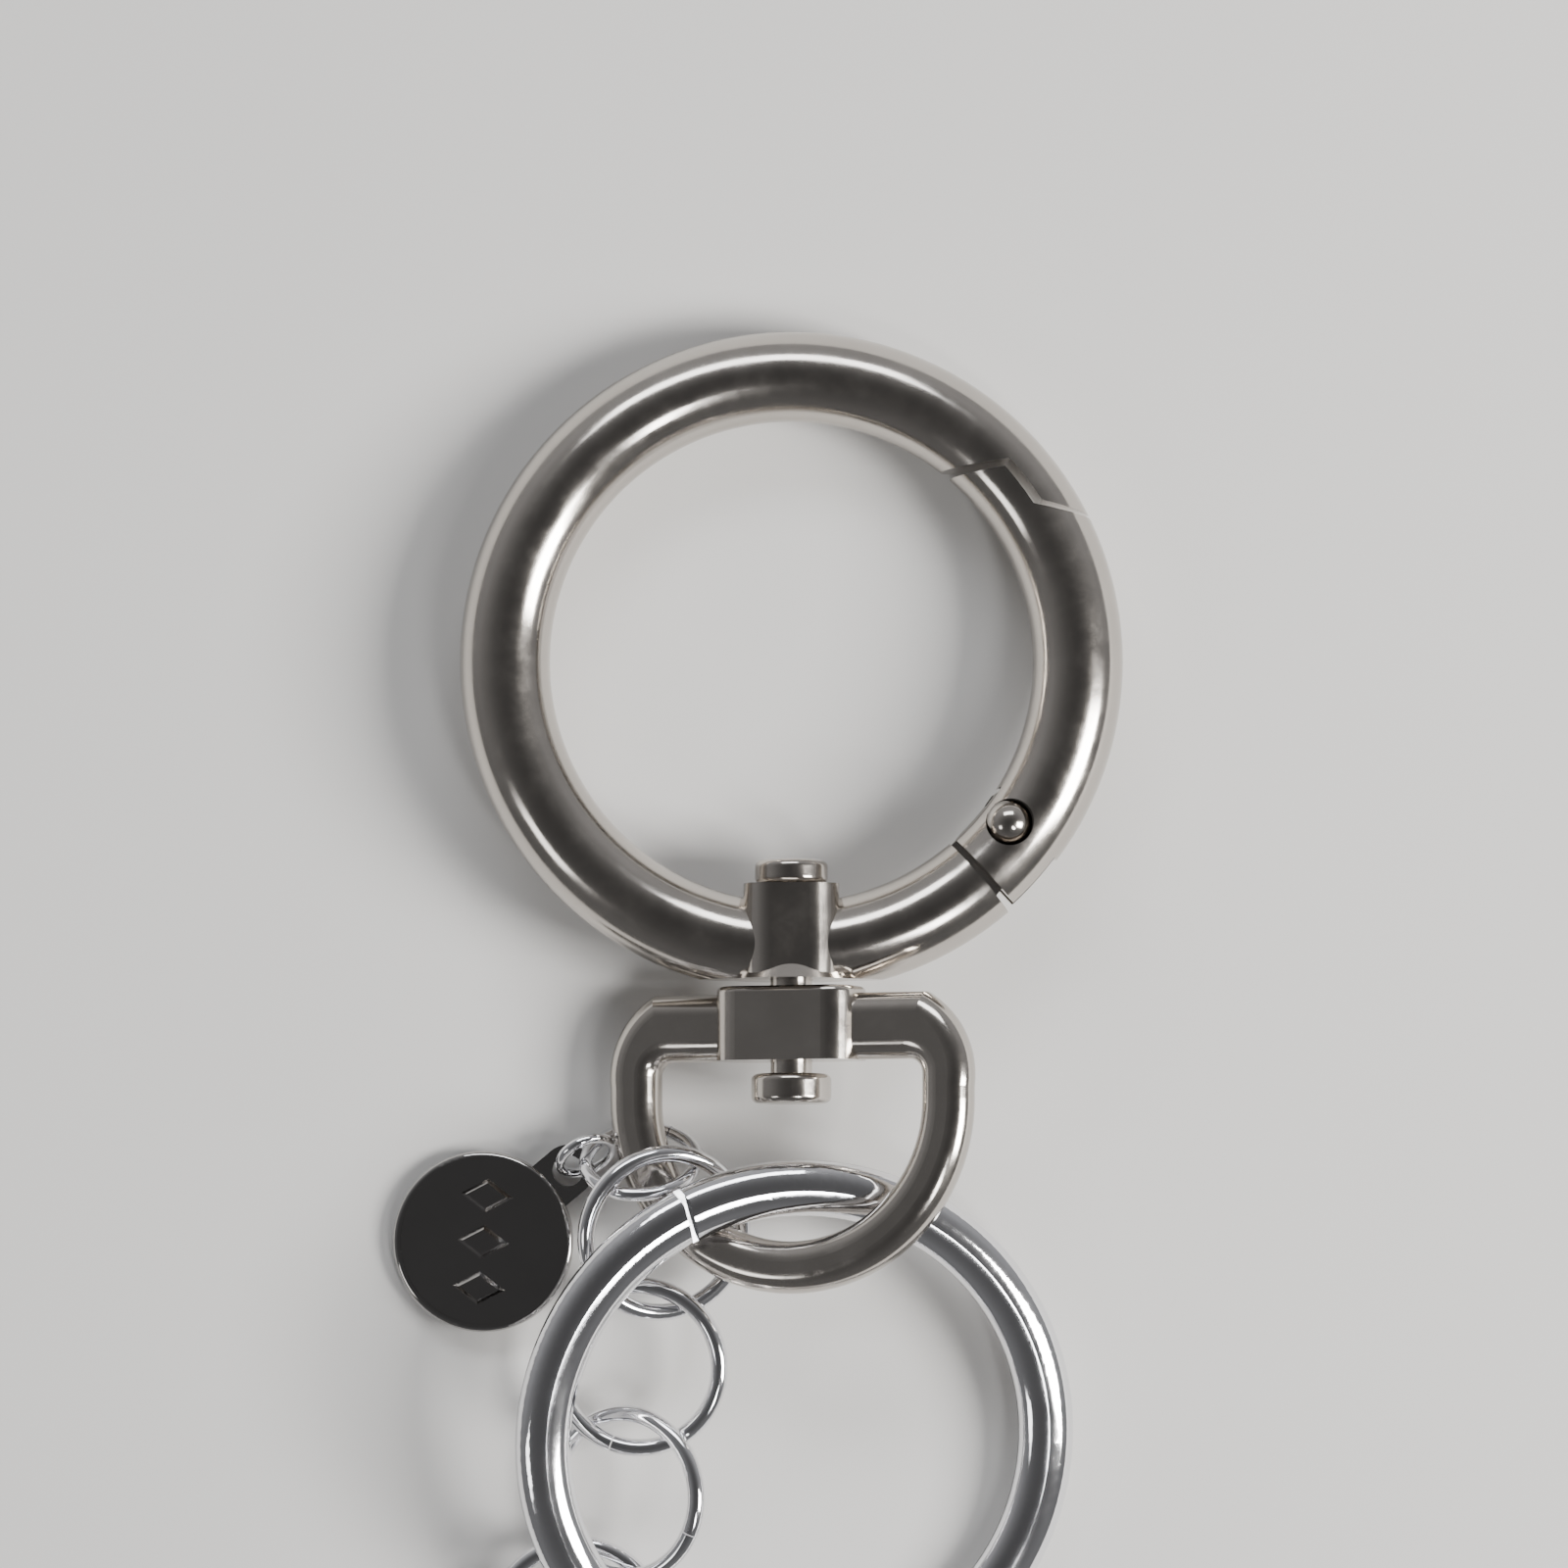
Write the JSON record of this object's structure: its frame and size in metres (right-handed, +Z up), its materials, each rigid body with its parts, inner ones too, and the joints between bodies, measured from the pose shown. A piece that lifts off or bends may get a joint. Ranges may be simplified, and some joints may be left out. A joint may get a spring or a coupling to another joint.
{
  "type": "split key ring",
  "caption": "Split key ring on a swivelling spring-gate ring clip, with a short chain of round links and a plain disc tag.",
  "frame": {"origin": "centre of the clip ring's tube circle", "axes": "+Y from the split ring towards the clip ring, +Z up from the surface the part lies on, +X to the gate side"},
  "size_m": [0.0422, 0.0948, 0.0107],
  "materials": {
    "nickel": "polished, warm grey nickel plating",
    "chrome": "polished, bright nickel plating",
    "spring_steel": "drawn spring wire",
    "tag_metal": "polished"
  },
  "bodies": {
    "ring_body": {"ring_body": "nickel", "gate_pin": "nickel"},
    "gate": {"gate": "nickel", "gate_spring": "spring_steel"},
    "swivel_pin": {"swivel_pin": "nickel"},
    "swivel_loop": {"swivel_loop": "nickel"},
    "split_ring": {"split_ring": "chrome"},
    "chain_link_1": {"chain_link_1": "chrome"},
    "chain_link_2": {"chain_link_2": "chrome"},
    "chain_link_3": {"chain_link_3": "chrome"},
    "chain_link_4": {"chain_link_4": "chrome"},
    "chain_link_5": {"chain_link_5": "chrome"},
    "chain_link_6": {"chain_link_6": "chrome"},
    "chain_link_7": {"chain_link_7": "chrome"},
    "chain_link_8": {"chain_link_8": "chrome"},
    "tag_ring": {"tag_ring": "chrome"},
    "tag_jump_ring": {"tag_jump_ring": "chrome"},
    "tag_disc": {"tag_disc": "tag_metal"}
  },
  "joints": [
    {"name": "gate_hinge", "type": "hinge", "parent": "ring_body", "child": "gate", "pos_m": [0.0125, -0.00939, 0.0007], "axis": [0, 0.0748, 0.9972], "range_deg": [0, 30], "stiffness_Nm_per_rad": 0.02, "springref_deg": -20.05, "deforming": ["gate_spring"]},
    {"name": "swivel_play", "type": "slide", "parent": "ring_body", "child": "swivel_pin", "axis": [0, 0.9972, -0.0748], "range_m": [0, 0.0003]},
    {"name": "swivel_turn", "type": "hinge", "parent": "swivel_pin", "child": "swivel_loop", "pos_m": [0, -0.02094, 0.00157], "axis": [0, 0.9972, -0.0748], "continuous": true},
    {"name": "split_ring_swing", "type": "hinge", "parent": "swivel_loop", "child": "split_ring", "pos_m": [0, -0.02523, 0.00189], "axis": [-0.3502, 0.0701, 0.934], "range_deg": [0, 10]},
    {"name": "chain_swing", "type": "hinge", "parent": "swivel_loop", "child": "chain_link_1", "pos_m": [0, -0.02523, 0.00189], "axis": [-0.3502, 0.0701, 0.934], "range_deg": [-8, 0]},
    {"name": "chain_link_2_swing", "type": "hinge", "parent": "chain_link_1", "child": "chain_link_2", "pos_m": [-0.00731, -0.03291, 0.00048], "axis": [0.3154, -0.1859, 0.9306], "range_deg": [0, 8]},
    {"name": "chain_link_3_swing", "type": "hinge", "parent": "chain_link_2", "child": "chain_link_3", "pos_m": [-0.00882, -0.04064, -0.00028], "axis": [-0.1154, -0.0423, 0.9924], "range_deg": [-6, 3]},
    {"name": "chain_link_4_swing", "type": "hinge", "parent": "chain_link_3", "child": "chain_link_4", "pos_m": [-0.00958, -0.04807, -0.00063], "axis": [-0.4814, 0.0175, 0.8763], "range_deg": [-8, 3]},
    {"name": "chain_link_5_swing", "type": "hinge", "parent": "chain_link_4", "child": "chain_link_5", "pos_m": [-0.01239, -0.05563, -0.00171], "axis": [0.0118, -0.1136, 0.9935], "range_deg": [-8, 4]},
    {"name": "chain_link_6_swing", "type": "hinge", "parent": "chain_link_5", "child": "chain_link_6", "pos_m": [-0.01262, -0.06292, -0.00151], "axis": [0.3982, 0.1548, 0.9042], "range_deg": [-10, 4]},
    {"name": "chain_link_7_swing", "type": "hinge", "parent": "chain_link_6", "child": "chain_link_7", "pos_m": [-0.00798, -0.06876, -0.0016], "axis": [-0.0509, 0.0946, 0.9942], "range_deg": [-10, 6]},
    {"name": "chain_link_8_swing", "type": "hinge", "parent": "chain_link_7", "child": "chain_link_8", "pos_m": [-0.0007, -0.07083, -0.00173], "axis": [0.0137, -0.3441, 0.9388], "range_deg": [-15, 15]},
    {"name": "tag_ring_swing", "type": "hinge", "parent": "swivel_loop", "child": "tag_ring", "pos_m": [0, -0.02523, 0.00189], "axis": [-0.3502, 0.0701, 0.934], "range_deg": [0, 3]},
    {"name": "tag_jump_ring_swing", "type": "hinge", "parent": "tag_ring", "child": "tag_jump_ring", "pos_m": [-0.00868, -0.02883, -0.00089], "axis": [-0.0359, 0.829, 0.5581], "range_deg": [-4, 10]},
    {"name": "tag_disc_swing", "type": "hinge", "parent": "tag_jump_ring", "child": "tag_disc", "pos_m": [-0.01187, -0.02857, -0.0022], "axis": [0.3496, -0.7505, 0.5608], "range_deg": [-20, 20]}
  ]
}
